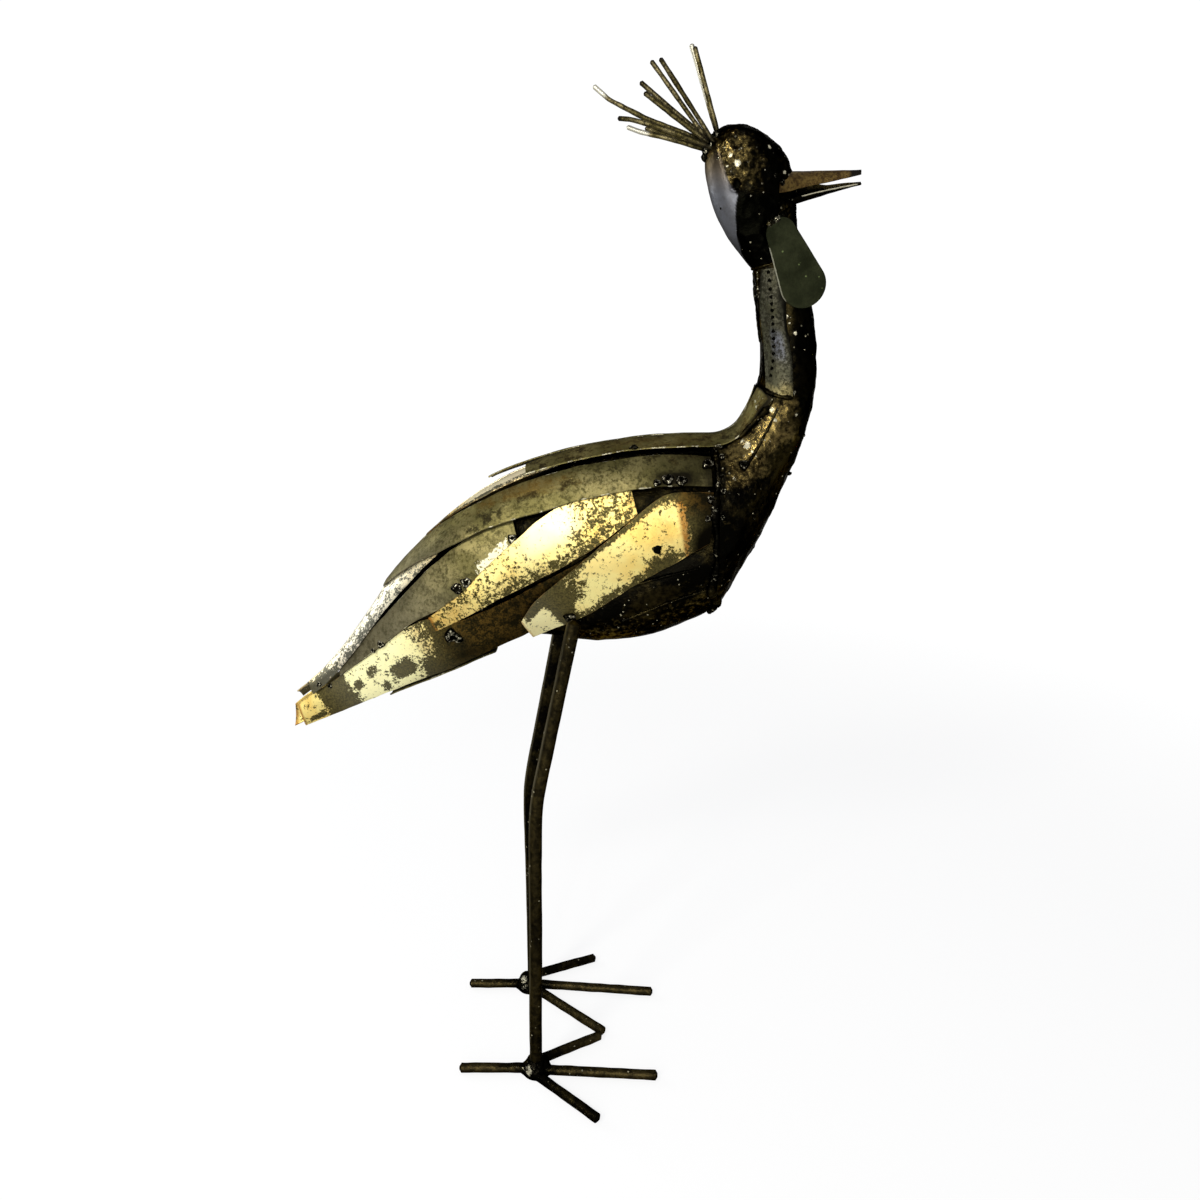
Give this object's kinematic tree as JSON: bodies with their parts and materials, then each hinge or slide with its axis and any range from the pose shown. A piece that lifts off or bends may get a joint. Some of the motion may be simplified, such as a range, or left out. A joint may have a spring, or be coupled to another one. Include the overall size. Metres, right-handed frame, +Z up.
{
  "type": "feathered crowned crane figure",
  "caption": "Welded sheet-steel crowned crane standing on rod legs and toes, with overlapping feather strips, a wire crest, side wattles and an open beak.",
  "frame": {"origin": "the middle of the box that the figure fills, on the floor that its feet stand on", "axes": "+X toward the beak, +Y toward the figure's left side, +Z up; millimetres in the source, the body's middle plane is at y = 5 mm"},
  "size_m": [0.3929, 0.1861, 0.738],
  "materials": {
    "blackened_steel": "blackened, oiled, glossy",
    "olive_steel": "olive patina, dark corrosion patches",
    "gilded_steel": "golden lacquer worn to olive islands",
    "bronzed_beak": "bronze brown, dark tip",
    "stitched_panel": "grey, textured, weld stitches",
    "green_wattle": "dark green olive, satin",
    "burnt_wire": "olive brown, burnt tips"
  },
  "bodies": {
    "root": {"body_shell": "blackened_steel", "breast_and_neck": "blackened_steel", "head": "blackened_steel", "lower_beak": "blackened_steel", "right_leg": "blackened_steel", "right_foot_weld": "blackened_steel", "right_front_toe": "blackened_steel", "right_outer_toe": "blackened_steel", "right_inner_toe": "blackened_steel", "right_back_toe": "blackened_steel", "left_leg": "blackened_steel", "left_foot_weld": "blackened_steel", "left_front_toe": "blackened_steel", "left_outer_toe": "blackened_steel", "left_inner_toe": "blackened_steel", "left_back_toe": "blackened_steel", "under_feather": "olive_steel", "right_back_feather": "olive_steel", "right_upper_wing_feather": "olive_steel", "right_rear_wing_feather": "olive_steel", "left_back_feather": "olive_steel", "left_upper_wing_feather": "olive_steel", "left_rear_wing_feather": "olive_steel", "right_rump_feather": "gilded_steel", "right_middle_wing_feather": "gilded_steel", "right_lower_wing_feather": "gilded_steel", "right_front_wing_feather": "gilded_steel", "right_tail_feather": "gilded_steel", "left_rump_feather": "gilded_steel", "left_middle_wing_feather": "gilded_steel", "left_lower_wing_feather": "gilded_steel", "left_front_wing_feather": "gilded_steel", "left_tail_feather": "gilded_steel", "upper_beak": "bronzed_beak", "right_neck_panel": "stitched_panel", "left_neck_panel": "stitched_panel", "right_wattle": "green_wattle", "left_wattle": "green_wattle", "crest_wire_01": "burnt_wire", "crest_wire_02": "burnt_wire", "crest_wire_03": "burnt_wire", "crest_wire_04": "burnt_wire", "crest_wire_05": "burnt_wire", "crest_wire_06": "burnt_wire", "crest_wire_07": "burnt_wire", "crest_wire_08": "burnt_wire", "crest_wire_09": "burnt_wire", "crest_wire_10": "burnt_wire"}
  },
  "joints": []
}
